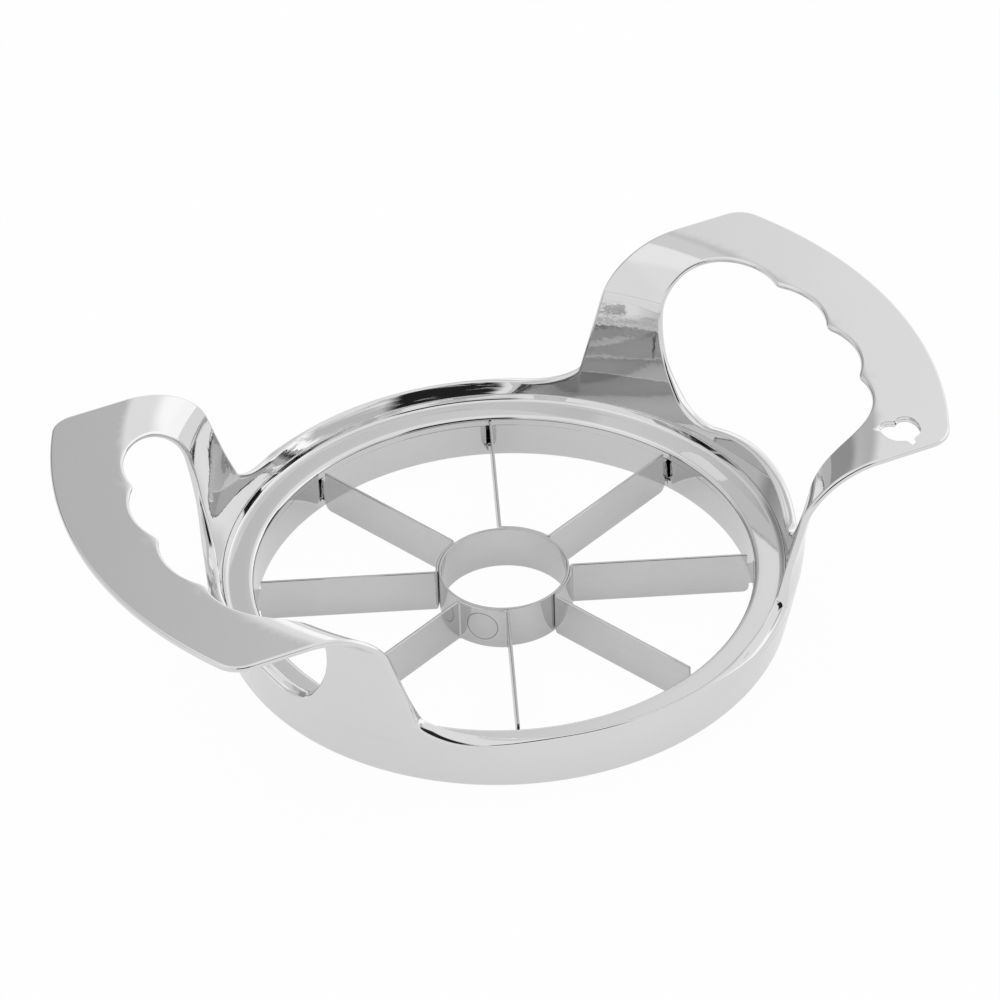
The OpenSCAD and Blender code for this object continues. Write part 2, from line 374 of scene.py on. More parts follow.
def rimOutline():
    # half of the sheet's outer edge, from the start of the root at the lip to the middle of the grip
    handY = shape["handleWidth"] / 2
    lipRadius, lipHeight = sheetPoint(lipAlong)
    rootY = lipRadius * math.sin(math.radians(shape["rootTurn"]))
    rootRound = shape["rootRound"]
    spare = rootRound - shape["rootTight"]
    rootBend = math.asin((rootY - shape["rootTight"] - handY) / spare)
    tightCentre = (rootY - spare * math.sin(rootBend),
                   lipHeight + rootRound - spare * math.cos(rootBend))
    tightTurn = 270 - math.degrees(rootBend)
    tipX = math.sqrt((reach - shape["tipRound"]) ** 2 - (handY - shape["tipRound"]) ** 2)
    tipCentre = (tipX, handY - shape["tipRound"])
    outline = [(math.radians(shape["rootTurn"]), lipAlong)]
    count = edgeColumns
    root = arcPoints((rootY, lipHeight + rootRound), rootRound, 270, tightTurn, count["root"])
    root += arcPoints(tightCentre, shape["rootTight"], tightTurn, 180, count["rootTight"])
    outline += [fromSide(p) for p in root]
    sideStart = outline[-1][1]
    sideEnd = alongFromRadius(math.hypot(tipX, handY))
    for along in evenSteps(sideStart, sideEnd, count["side"]):
        outline.append((math.asin(handY / sheetPoint(along)[0]), along))
    tipEnd = bearing((0, 0), tipCentre)
    outline += [fromAbove(p) for p in arcPoints(tipCentre, shape["tipRound"], 90, tipEnd, count["tip"])]
    outline += linePoints(outline[-1], (0.0, alongFromRadius(reach)), count["end"])
    return outline


def insetPoint(line, k, depth):
    # a point of a line of turn and distance moved square to the line, to its left
    turn, along = line[k]
    radius = sheetPoint(along)[0]
    before = line[k - 1]
    after = line[(k + 1) % len(line)]
    first = Vector(((turn - before[0]) * radius, along - before[1])).normalized()
    second = Vector(((after[0] - turn) * radius, after[1] - along)).normalized()
    across = Vector((-first.y - second.y, first.x + second.x)).normalized()
    across /= across.dot(Vector((-first.y, first.x)))
    return turn + across.x * depth / radius, along + across.y * depth


def mirrored(line):
    return [(-turn, along) for turn, along in reversed(line)]


def fromHandle(turn):
    # degrees from the middle of the nearer handle
    return abs((math.degrees(turn) + 90) % 180 - 90)


def lipShare(turn):
    # 1 on the free lip between the handles, 0 where a handle grows out of the wall
    return eased(ramp(fromHandle(turn), shape["lipFrom"], shape["lipFull"]))


def rootShare(turn):
    # 1 along a root, 0 on the legs and on the free lip
    start, full, fading, end = shape["rootSpan"]
    return ramp(fromHandle(turn), start, full) * ramp(fromHandle(turn), end, fading)


def faceLifts(turn, along):
    # how far the outer and inner faces stand from the sheet's middle, the free lip being a thin ridge
    share = lipShare(turn)
    bevelled = max(along - bevelAlong, 0)
    bevel = shape["bevelSlope"] * bevelled + shape["bevelCurve"] * bevelled**2 / 2
    past = max(along - jointAlong, 0)
    run = shape["plumbRun"]
    plumb = leanSin / leanCos * (past**2 / (2 * run) if past < run else past - run / 2)
    thin = eased(ramp(along, shape["thinFrom"], shape["thinFull"]))
    below, above = shape["thinRight"] if math.cos(turn) > 0 else shape["thinLeft"]
    outer = share * plumb + thin * below - half
    return outer, max(half - share * bevel - thin * above, outer + shape["ridge"])


def flatSheet():
    # the wall, the legs and the grips as one flat pattern of turn and distance along the sheet
    steps = shape["edgeRows"]
    band = shape["edgeBand"]
    bandTop = lipAlong - shape["lipBand"]
    step = math.radians(shape["step"])
    rootTurn = math.radians(shape["rootTurn"])
    plainColumns = round((math.pi / 2 - rootTurn) / step)

    rim = rimOutline()
    plain = [(math.pi / 2 - k * step, lipAlong) for k in range(plainColumns)]
    edgeLine = plain + rim + mirrored(plain + rim[:-1])
    isPlain = [along == lipAlong for turn, along in edgeLine]

    def rowDepth(row, deep):
        return deep * (1 - math.cos(row * math.pi / 2 / steps))

    def rowShare(row, wide):
        # share of the sheet's thickness in a row of a rounded edge
        return (half - wide + wide * math.sin(row * math.pi / 2 / steps)) / half if row <= steps else 1

    def edgeSize(k):
        # depth and width of the edge's rounding and its band, the lip's running out along the root
        past = min(k, len(edgeLine) - 1 - k) - len(plain)
        share = ramp(past, 0, rootSteps)
        roll = (shape["rootRoll"] * math.sin(math.pi * share), 0, 0)
        share = eased(share)
        lipSizes = (shape["lipRound"], shape["lipWide"], shape["lipBand"])
        edgeSizes = (shape["edgeRound"], shape["edgeWide"], band)
        return [a + (b - a) * share + c for a, b, c in zip(lipSizes, edgeSizes, roll)]

    def edgeSpot(k, depth):
        if isPlain[k]:
            return edgeLine[k][0], edgeLine[k][1] - depth
        return insetPoint(edgeLine, k, depth)

    opening = openingOutline()
    opening += mirrored(opening[1:-1])
    rootColumns = round(rootTurn / step)
    quarter = round(math.pi / 2 / step)

    def columnTurn(k):
        # turn of the k-th column from a handle's middle, the columns being closer under the sill
        share = abs(k) / rootColumns
        return math.copysign(rootTurn * share * (1 - shape["gather"] * (1 - share)), k)

    first = len(plain) + 1
    outer = [(columnTurn(k), bandTop) for k in range(rootColumns + 1)]
    outer += [edgeSpot(k, edgeSize(k)[2]) for k in range(first, first + len(rim) - 1)]
    outer += mirrored(outer[1:-1])
    print("sheet outlines", len(opening), len(outer))
    handleRows = steps + 1 + shape["innerRows"]

    def handleSpot(column, row):
        k = column % len(opening)
        if row <= steps:
            depth = rowDepth(row, shape["edgeRound"])
            return insetPoint(opening, k, -depth), rowShare(row, shape["edgeWide"])
        share = (row - steps - 1) / shape["innerRows"]
        start = insetPoint(opening, k, -band)
        return [a + (b - a) * share for a, b in zip(start, outer[k])], 1

    def rimSpot(column, row):
        deep, wide, whole = edgeSize(column)
        depth = rowDepth(row, deep) if row <= steps else whole
        return edgeSpot(column, depth), rowShare(row, wide)

    run = shape["plumbRun"]
    plumbRows = shape["plumbRows"]
    bandRows = [jointAlong + run * k / plumbRows for k in range(plumbRows + 1)]
    crease = shape["bevelCrease"]
    bandRows += [bevelAlong - crease, bevelAlong + crease, bandTop]

    def bandSpot(column, row):
        along = bandRows[row]
        turn = column * step - math.pi / 2
        k = column % (2 * quarter) - quarter
        if abs(k) < rootColumns:
            turn += (columnTurn(k) - k * step) * (along - jointAlong) / (bandTop - jointAlong)
        return (turn, along), 1

    def laidFlat(spot, start):
        def place(column, row):
            (turn, along), share = spot(column, row)
            return (start + turn) * flatRadius * mm, along * mm, share
        return place

    sheets = [gridPiece("frame_sheet", round(2 * math.pi / step), len(bandRows) - 1,
                        laidFlat(bandSpot, 0))]

    def isLoose(row):
        return steps + 1 < row < handleRows

    for start in (0, math.pi):
        sheets.append(gridPiece("handle_sheet", len(opening), handleRows, laidFlat(handleSpot, start),
                                isLoose))
        sheets.append(gridPiece("rim_sheet", len(edgeLine) - 1, steps + 1, laidFlat(rimSpot, start)))
    sheet = joined(sheets)
    seam = 0.002 * mm  # within which the edges of two patterns are one
    editing(sheet)
    bpy.ops.mesh.remove_doubles(threshold=seam)
    doneEditing()
    # the points between the lip and the opening are evened out, so that no face folds over
    useModifier(sheet, "SMOOTH", factor=0.5, iterations=shape["evening"], vertex_group="loose")
    editing(sheet)
    bpy.ops.mesh.normals_make_consistent(inside=False)
    doneEditing()
    if sum(face.normal.z for face in sheet.data.polygons) < 0:
        sheet.data.flip_normals()
    return sheet


def channelSection():
    # channel under the cover ring, from the wall's inner face round to its outer face
    innerFace = sheetPoint(jointAlong, half)
    outerFace = sheetPoint(jointAlong, -half)
    clear = shape["clearRadius"]
    seat = shape["seat"]
    soft = shape["seatBevel"]
    floorRadius = wallFoot - half / leanCos + shape["floor"] * leanSin / leanCos
    roundX = shape["wallOut"] + shape["baseRound"] * (leanSin / leanCos - 1 / leanCos)
    section = [innerFace, (floorRadius, shape["floor"])]
    section += [(clear + shape["innerWall"], shape["floor"]), (clear + shape["innerWall"], seat)]
    section += [(clear + soft, seat), (clear, seat - soft)]
    section += linePoints(section[-1], (clear, shape["baseBevel"]), shape["boreRows"])
    section += [(clear + shape["baseBevel"], 0.0), (roundX, 0.0)]
    roundCentre = (roundX, shape["baseRound"])
    section += arcPoints(roundCentre, shape["baseRound"], -90, -shape["lean"], shape["baseSteps"])
    section += linePoints(section[-1], outerFace, shape["wallRows"])
    return section


hangingHole = {
    "centre": (64.65, -34.95),
    "bevel": 0.3,
    "bevelSteps": 5,
    "curveParts": 5,  # of the curve between two points of its outline
    # half of a fruit outline about its centre: dip, lobe, shoulder and stem
    "outline": [(0, 3.35), (0.75, 3.85), (1.9, 4.0), (3.2, 3.3), (3.9, 1.7), (3.9, 0.2), (3.45, -1.4),
                (2.5, -2.6), (1.5, -3.1), (0.95, -3.5), (0.8, -4.3), (0.5, -4.95), (0, -5.1)],
}


def smoothLoop(points, parts):
    # a closed curve through points
    loop = []
    for k in range(len(points)):
        a, b, c, d = [Vector(points[(k + j) % len(points)]) for j in (-1, 0, 1, 2)]
        for j in range(parts):
            t = j / parts
            loop.append(b + (c - a) * (t / 2) + (2 * a - 5 * b + 4 * c - d) * (t * t / 2)
                        + (3 * b - a - 3 * c + d) * (t**3 / 2))
    return loop


def holeCutter():
    # a plug that flares at both faces of the grip, so the hole gets bevelled edges
    seam = 0.0005 * mm  # within which the plug's first and last column are one
    outline = hangingHole["outline"]
    loop = smoothLoop(outline + [(-x, y) for x, y in outline[-2:0:-1]], hangingHole["curveParts"])
    loop.reverse()
    count = len(loop)
    bevel = hangingHole["bevel"]
    wall = shape["wall"] - sum(shape["thinRight"])
    rows = [(-wall - shape["cutPast"], bevel), (-wall, bevel)]
    # the bevel's rows are closer together towards the hole's wall
    steps = hangingHole["bevelSteps"]
    shares = [math.sin(k * math.pi / 2 / steps) for k in range(1, steps + 1)]
    rows += [(bevel * share - wall, bevel * (1 - share)) for share in shares]
    rows += [(-wall - low, out) for low, out in reversed(rows)]
    bpy.ops.object.select_all(action="DESELECT")
    bpy.ops.mesh.primitive_grid_add(x_subdivisions=count, y_subdivisions=len(rows) - 1, size=1)
    cutter = named("hole_cutter")
    for vertex in cutter.data.vertices:
        k = round((vertex.co.x + 0.5) * count) % count
        height, out = rows[round((vertex.co.y + 0.5) * (len(rows) - 1))]
        heading = (loop[(k + 1) % count] - loop[k - 1]).normalized()
        spot = loop[k] + Vector((heading.y, -heading.x)) * -out + Vector(hangingHole["centre"])
        vertex.co = (spot.x * mm, spot.y * mm, (topHeight + height) * mm)
    editing(cutter)
    bpy.ops.mesh.remove_doubles(threshold=seam)
    pick(cutter, "edges", lambda item: item.is_boundary)
    bpy.ops.mesh.edge_face_add()
    bpy.ops.mesh.select_all(action="SELECT")
    bpy.ops.mesh.normals_make_consistent(inside=False)
    doneEditing()
    return cutter


def slotCutters():
    depth = shape["innerWall"] + shape["cutPast"]
    height = shape["seat"] - shape["slotFoot"] + shape["cutPast"]
    cutters = []
    for k in range(shape["slotCount"]):
        turn = (k + 0.5) * 2 * math.pi / shape["slotCount"]
        radius = (shape["clearRadius"] + shape["innerWall"] - depth / 2) * mm
        aside = shape["slotAside"][k] * mm
        spot = (radius * math.cos(turn) - aside * math.sin(turn),
                radius * math.sin(turn) + aside * math.cos(turn), 0)
        bpy.ops.object.select_all(action="DESELECT")
        bpy.ops.mesh.primitive_cube_add(
            size=1, location=spot, rotation=(0, 0, turn),
            scale=(depth * mm, shape["slotWidth"] * mm, height * mm))
        cutter = named("slot_cutter")
        cutter.location.z = (shape["slotFoot"] + height / 2) * mm
        bpy.ops.object.transform_apply()
        cutters.append(cutter)
    return cutters


def bowAt(along, lean):
    # slope of the slight curve of a leg's inner face, which runs out in the bend
    if along < lipAlong:
        return 0
    if along < legLength:
        share = (along - lipAlong) / (legLength - lipAlong)
    else:
        share = ramp(lean, math.pi / 2, bendStart)
    return math.tan(math.radians(shape["bow"]) * share)


def trueNormals(piece):
    # exact directions on both faces of the sheet, so its reflections run clean
    tiny = 0.002   # steps over which slopes are taken
    near = 0.004   # mm within which a point lies on a face
    directions = []
    for vertex in piece.data.vertices:
        turn = math.atan2(vertex.co.y, vertex.co.x)
        radius = math.hypot(vertex.co.x, vertex.co.y) / mm
        height = vertex.co.z / mm
        along = (radius - wallFoot) * leanSin + height * leanCos
        x, z = radius - bendRadius, height - bendHeight
        if along < legLength:
            across = (-leanCos, leanSin)
            lift = (radius - wallFoot) * across[0] + height * across[1]
        elif x < 0:
            away = math.hypot(x, z)
            across = (x / away, z / away)
            lift = away - bendMid
        else:
            across = (0, 1)
            lift = z - bendMid
        lifts = faceLifts(turn, along)
        face = 0 if abs(lift - lifts[0]) < abs(lift - lifts[1]) else 1
        if abs(lift - lifts[face]) > near:
            isBore = abs(radius - shape["clearRadius"]) < near
            directions.append((-math.cos(turn), -math.sin(turn), 0) if isBore else (0, 0, 0))
            continue
        above, below = [faceLifts(turn, along + step)[face] for step in (tiny, -tiny)]
        rise = (above - below) / (2 * tiny)
        after, before = [faceLifts(turn + step, along)[face] for step in (tiny, -tiny)]
        swing = (after - before) / (2 * tiny * radius)
        if face == 1:
            rise -= bowAt(along, math.atan2(across[1], -across[0])) * (1 - lipShare(turn))
        out = across[0] - rise * across[1]
        up = across[1] + rise * across[0]
        side = 2 * face - 1
        directions.append((side * (out * math.cos(turn) + swing * math.sin(turn)),
                           side * (out * math.sin(turn) - swing * math.cos(turn)), side * up))
    piece.data.normals_split_custom_set_from_vertices(directions)


def buildFrame():
    sheet = flatSheet()
    useModifier(sheet, "SOLIDIFY", thickness=shape["wall"] * mm, offset=0, use_rim=True,
                vertex_group="fullness")

    # the ends that meet the spun ring, and each other at the front, stay open
    firstTurn = -math.pi / 2 * flatRadius * mm
    lastTurn = 1.5 * math.pi * flatRadius * mm
    near = 0.01 * mm

    def isOpenEnd(face):
        spots = [v.co for v in face.verts]
        low = all(abs(c.y - jointAlong * mm) < near for c in spots)
        first = all(abs(c.x - firstTurn) < near for c in spots)
        last = all(abs(c.x - lastTurn) < near for c in spots)
        return low or first or last

    editing(sheet)
    pick(sheet, "faces", isOpenEnd)
    bpy.ops.mesh.delete(type="FACE")
    doneEditing()
    for vertex in sheet.data.vertices:
        turn = vertex.co.x / mm / flatRadius
        along = vertex.co.y / mm
        outer, inner = faceLifts(turn, along)
        across = vertex.co.z / mm
        across += shape["rootLean"] * rootShare(turn) * (half - abs(across))
        share = (across + half) / shape["wall"]
        radius, height = sheetPoint(along, outer + (inner - outer) * share)
        vertex.co = (radius * math.cos(turn) * mm, radius * math.sin(turn) * mm, height * mm)

    channel = spunPiece("frame_channel", channelSection(), round(360 / shape["step"]), isLoop=False)
    piece = joined([sheet, channel])
    piece.name = "slicer_frame"
    editing(piece)
    bpy.ops.mesh.remove_doubles(threshold=near)
    bpy.ops.mesh.normals_make_consistent(inside=False)
    doneEditing()
    cutter = joined([holeCutter(), *slotCutters()])
    useModifier(piece, "BOOLEAN", operation="DIFFERENCE", solver="MANIFOLD", object=cutter)
    bpy.data.objects.remove(cutter)
    shadeSmooth(piece, shape["sharpAngle"])
    trueNormals(piece)
    return piece


framePiece = buildFrame()
print("frame", len(framePiece.data.polygons), "faces")
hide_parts("frame")
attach(framePiece, "root")

# Cover ring: a flat ring with a rounded inner edge, a hollow and a thin turned-up rim

coverShape = {
    "flat": 9.2,       # height of its flat top
    "innerRound": 0.95,
    "hollow": 0.7,     # rounding between the flat and the rim
    "rimHeight": 10.4,
    "rimWidth": 0.2,
    "rimLean": 22,     # degrees, of the rim's inner face
    "gap": 0.03,       # to the frame's wall
    "innerSteps": 10,  # steps and rows of its section
    "flatRows": 4,
    "hollowSteps": 10,
    "rimSteps": 6,
    "steps": 180,      # round the axis
    "sharpAngle": 40,  # degrees past which an edge is shaded sharp
}


def buildCoverRing():
    clear = shape["clearRadius"]
    flatTop = coverShape["flat"]
    hollow = coverShape["hollow"]
    innerRound = coverShape["innerRound"]
    rimRound = coverShape["rimWidth"] / 2

    def wallFace(height):
        return wallFoot - half / leanCos + height * leanSin / leanCos - coverShape["gap"]

    rimTop = coverShape["rimHeight"] - rimRound
    rimCentre = (wallFace(rimTop) - rimRound, rimTop)
    rimLean = math.radians(coverShape["rimLean"])
    fillTop = flatTop + hollow * (1 - math.sin(rimLean))
    fillRadius = rimCentre[0] - rimRound - (rimTop - fillTop) * math.tan(rimLean)
    hollowCentre = (fillRadius - hollow * math.cos(rimLean), flatTop + hollow)
    seat = shape["seat"]
    section = [(clear, seat), (clear, flatTop - innerRound)]
    innerCentre = (clear + innerRound, flatTop - innerRound)
    section += arcPoints(innerCentre, innerRound, 180, 90, coverShape["innerSteps"])
    section += linePoints(section[-1], (hollowCentre[0], flatTop), coverShape["flatRows"])
    section += arcPoints(hollowCentre, hollow, -90, -coverShape["rimLean"], coverShape["hollowSteps"])
    section += [(rimCentre[0] - rimRound, rimTop)]
    section += arcPoints(rimCentre, rimRound, 180, 0, coverShape["rimSteps"])
    section += [(wallFace(flatTop), flatTop), (wallFace(seat), seat)]
    piece = spunPiece("cover_ring_dressed", section, coverShape["steps"])
    polish(piece, coverShape["sharpAngle"])
    return piece


coverPiece = buildCoverRing()
print("cover ring", len(coverPiece.data.polygons), "faces")
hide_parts("cover_ring")
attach(coverPiece, "root")

# Coring ring and blades: thin strip with a sharpened lower edge

blade = {
    "coreRadius": 11.7,
    "strip": 0.5,
    "lapGap": 0.02,
    "low": 0.3,
    "high": 9.1,
    "sharpHeight": 0.9,  # of the ground lower edge
    "sharpShare": 0.25,  # of the thickness left at the cutting edge
    "softTop": 0.12,     # rounding of the upper edge
    "softMiddle": 0.3,   # share of that height where the rounding has its middle row
    "softShares": (0.8, 0.5),  # of the thickness there and at the top
    "bend": 0.6,         # between a leg and the lap, on the strip's middle line
    "upperEnd": 45.3,    # where the full height ends, above and below the tab
    "lowerEnd": 45.6,
    "cornerRound": 1.2,
    "tabEnd": 48.2,
    "tabLow": 2.4,
    "tabHigh": 7.2,
    "legTurn": 45,       # degrees between the two legs of a pair
    "pairCount": 4,
    "coreSteps": 128,    # round the axis
    "sideRows": 3,       # rows and steps of the coring ring's section
    "topSteps": 4,
    "cornerTurns": (30, 50, 70, 90),  # degrees at which the lower corner has a column
    "legColumns": 8,
    "bendColumns": 6,
    "lapColumns": 8,     # over half of the lap
    "sharpAngle": 25,    # degrees past which an edge is shaded sharp
}
stripHalf = blade["strip"] / 2

# middle line of a pair's strip: a leg, a bend round a centre beside it, and a lap up to its middle
lapMid = blade["coreRadius"] + blade["strip"] + blade["lapGap"] + stripHalf
lapBend = blade["bend"]
lapTilt = math.asin(lapBend / (lapMid + lapBend))
lapBendX = (lapMid + lapBend) * math.cos(lapTilt)
bladeLength = blade["tabEnd"] - lapBendX
lapStart = bladeLength + lapBend * (math.pi / 2 - lapTilt)
lapMiddle = lapStart + lapMid * (math.radians(blade["legTurn"]) / 2 - lapTilt)


def buildCoreRing():
    inside = blade["coreRadius"]
    outside = inside + blade["strip"]
    soft = blade["softTop"]
    thin = blade["strip"] * blade["sharpShare"] / 2
    middle = inside + stripHalf
    rows, steps = blade["sideRows"], blade["topSteps"]
    section = [(middle - thin, blade["low"]), (inside, blade["low"] + blade["sharpHeight"])]
    section += linePoints(section[-1], (inside, blade["high"] - soft), rows)
    section += arcPoints((inside + soft, blade["high"] - soft), soft, 180, 90, steps)
    section += [(outside - soft, blade["high"])]
    section += arcPoints((outside - soft, blade["high"] - soft), soft, 90, 0, steps)
    section += linePoints(section[-1], (outside, blade["low"] + blade["sharpHeight"]), rows)
    section += [(middle + thin, blade["low"])]
    piece = spunPiece("core_ring_dressed", section, blade["coreSteps"])
    polish(piece, blade["sharpAngle"])
    return piece


def stripPoint(distance, lift):
    # a point of the strip seen from above, lift being towards the coring ring
    if distance > lapMiddle:
        x, y = stripPoint(2 * lapMiddle - distance, lift)
        turn = math.radians(blade["legTurn"])
        return x * math.cos(turn) + y * math.sin(turn), x * math.sin(turn) - y * math.cos(turn)
    if distance < bladeLength:
        return blade["tabEnd"] - distance, -lift
    if distance < lapStart:
        turn = -math.pi / 2 - (distance - bladeLength) / lapBend
        radius = lapBend + lift
        return lapBendX + radius * math.cos(turn), lapBend + radius * math.sin(turn)
    turn = lapTilt + (distance - lapStart) / lapMid
    return (lapMid - lift) * math.cos(turn), (lapMid - lift) * math.sin(turn)


def buildBladePair():
    # a flat strip with notched ends, thickened, ground along its lower edge and then bent
    corner = blade["cornerRound"]
    lower = blade["lowerEnd"]
    ends = [blade["tabEnd"], (blade["tabEnd"] + lower) / 2, lower, blade["upperEnd"]]
    ends += [lower - corner + corner * math.cos(math.radians(t)) for t in blade["cornerTurns"]]
    ends.sort(reverse=True)
    spots = [blade["tabEnd"] - x for x in ends]
    spots += evenSteps(spots[-1], bladeLength, blade["legColumns"])
    spots += evenSteps(bladeLength, lapStart, blade["bendColumns"])
    spots += evenSteps(lapStart, lapMiddle, blade["lapColumns"])
    spots += [2 * lapMiddle - spot for spot in spots[-2::-1]]

    near = 0.01  # mm within which two places along the strip are one

    def lowerEdge(x):
        past = x - (lower - corner)
        isTab = x > lower + near
        if past <= 0 or isTab:
            return blade["low"]
        return blade["low"] + corner - math.sqrt(max(corner**2 - past**2, 0))

    tabMiddle = (blade["tabLow"] + blade["tabHigh"]) / 2
    tops = [blade["tabLow"], tabMiddle, blade["tabHigh"]]
    tops += [blade["high"] - blade["softTop"] * drop for drop in (1, blade["softMiddle"], 0)]
    shares = [blade["sharpShare"], 1, 1, 1, 1, 1, *blade["softShares"]]

    def place(column, row):
        distance = spots[column]
        edge = lowerEdge(blade["tabEnd"] - min(distance, 2 * lapMiddle - distance))
        rise = blade["sharpHeight"] * (1 - (edge - blade["low"]) / (2 * corner))
        height = [edge, edge + rise, *tops][row]
        return distance * mm, height * mm, shares[row]

    piece = gridPiece("blade_pair_dressed", len(spots) - 1, len(tops) + 1, place)

    def isNotch(face):
        centre = face.calc_center_median() / mm
        x = blade["tabEnd"] - min(centre.x, 2 * lapMiddle - centre.x)
        above = x > blade["upperEnd"] and centre.y > blade["tabHigh"]
        below = x > blade["lowerEnd"] and centre.y < blade["tabLow"]
        return above or below

    editing(piece)
    pick(piece, "faces", isNotch)
    bpy.ops.mesh.delete(type="FACE")
    doneEditing()
    useModifier(piece, "SOLIDIFY", thickness=blade["strip"] * mm, offset=0, use_rim=True,
                vertex_group="fullness")
    for vertex in piece.data.vertices:
        x, y = stripPoint(vertex.co.x / mm, vertex.co.z / mm)
        vertex.co = (x * mm, y * mm, vertex.co.y)
    editing(piece)
    bpy.ops.mesh.normals_make_consistent(inside=False)
    doneEditing()
    polish(piece, blade["sharpAngle"])
    return piece


corePiece = buildCoreRing()
firstPair = buildBladePair()
bladePieces = []
for k in range(blade["pairCount"]):
    piece = firstPair.copy()
    piece.data = firstPair.data.copy()
    bpy.context.scene.collection.objects.link(piece)
    piece.name = "blade_pair_%d_dressed" % (k + 1)
    turn = Matrix.Rotation(math.radians(blade["legTurn"] * (2 * k + 0.5)), 4, "Z")
    piece.data.transform(turn)
    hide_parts("blade_pair_%d" % (k + 1))
    bladePieces.append(piece)
bpy.data.objects.remove(firstPair)
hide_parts("core_ring")
for piece in [corePiece, *bladePieces]:
    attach(piece, "root")
print("coring ring and", len(bladePieces), "blade pairs")

# Node maths

class Wire:
    # one output of a node tree, which can be used in sums

    def __init__(self, tree, socket):
        self.tree = tree
        self.socket = socket

    def node(self, kind, settings=None, sockets=None, output=0):
        made = self.tree.nodes.new(kind)
        for key, value in (settings or {}).items():
            setattr(made, key, value)
        for key, value in (sockets or {}).items():
            if isinstance(value, Wire):
                self.tree.links.new(value.socket, made.inputs[key])
            else:
                made.inputs[key].default_value = value
        return Wire(self.tree, made.outputs[output] if made.outputs else None)

    def beside(self, output):
        # another output of the same node
        return Wire(self.tree, self.socket.node.outputs[output])

    def maths(self, operation, first, second=0.0):
        return self.node("ShaderNodeMath", {"operation": operation}, {0: first, 1: second})

    def root(self):
        return self.maths("SQRT", self)

    def __add__(self, other):
        return self.maths("ADD", self, other)

    __radd__ = __add__

    def __sub__(self, other):
        return self.maths("SUBTRACT", self, other)

    def __rsub__(self, other):
        return self.maths("SUBTRACT", other, self)

    def __mul__(self, other):
        return self.maths("MULTIPLY", self, other)

    __rmul__ = __mul__


def emptyTree(owner):
    owner.use_nodes = True
    owner.node_tree.nodes.clear()
    return Wire(owner.node_tree, None)


def softStep(value, low, high):
    return value.node("ShaderNodeMapRange", {"interpolation_type": "SMOOTHSTEP"},
                      {"Value": value, "From Min": low, "From Max": high})


def between(value, low, high, soft):
    return softStep(value, low - soft, low + soft) * (1 - softStep(value, high - soft, high + soft))


def partsOf(vector):
    parts = vector.node("ShaderNodeSeparateXYZ", None, {0: vector})
    return [parts.beside(k) for k in range(3)]


def placeOf(tree):
    # position on the object, with the distance from the middle axis and the turn about it
    spot = tree.node("ShaderNodeTexCoord", output="Object")
    x, y, z = partsOf(spot)
    return {"spot": spot, "x": x, "y": y, "z": z,
            "radius": (x * x + y * y).root(), "turn": x.maths("ARCTAN2", y, x)}


def noise(vector, scale, detail):
    return vector.node("ShaderNodeTexNoise", None, {"Vector": vector, "Scale": scale, "Detail": detail})


def packed(x, y, z):
    return x.node("ShaderNodeCombineXYZ", None, {0: x, 1: y, 2: z})


def gray(level):
    return packed(level, level, level)


def inMetres(values):
    return [value * mm for value in values]


# Finishes, with sizes and places in mm and the scales of patterns per metre

chrome = {
    "colour": 0.72,
    "cloud": 0.03,               # unevenness of the colour
    "cloudScale": 55,
    "roughness": 0.018,
    "haze": 0.03,                # unevenness of the roughness
    "hazeScale": 420,
    "ripple": 0.0025,            # height of the polishing waves
    "rippleScale": 700,
    "legRipple": 1.6,            # how much stronger they are on the legs
    "legs": (18, 31, 4),         # heights of the legs' lower and upper ends, and softness
    "streak": 0.022,             # height of the lines left by turning the inside of the lip
    "streakScale": (5, 2200),    # round the axis and across the lines
    "streakHaze": 0.3,           # roughness of the dull ones among them
    "streakDull": (0.54, 0.62),  # share of the pattern's height where they set in
    "lipFoot": (8.8, 10.8),      # heights between which the lines set in
    "lipTop": (12.2, 13.5),      # heights between which they run out
    "lipOut": (53.6, 54.1),      # radii between which they run out
    "lipSide": (45.8, 49.2),     # distances to the front or back between which they set in
    "channel": 0.06,             # share of the colour left where shade is painted on the metal under the cover ring
    "channelShadeAcross": (47.4, 51.2, 0.3),  # inner and outer radius of that painted shade, and softness
    "channelShadeHeight": (1.5, 7.2, 0.2),
}


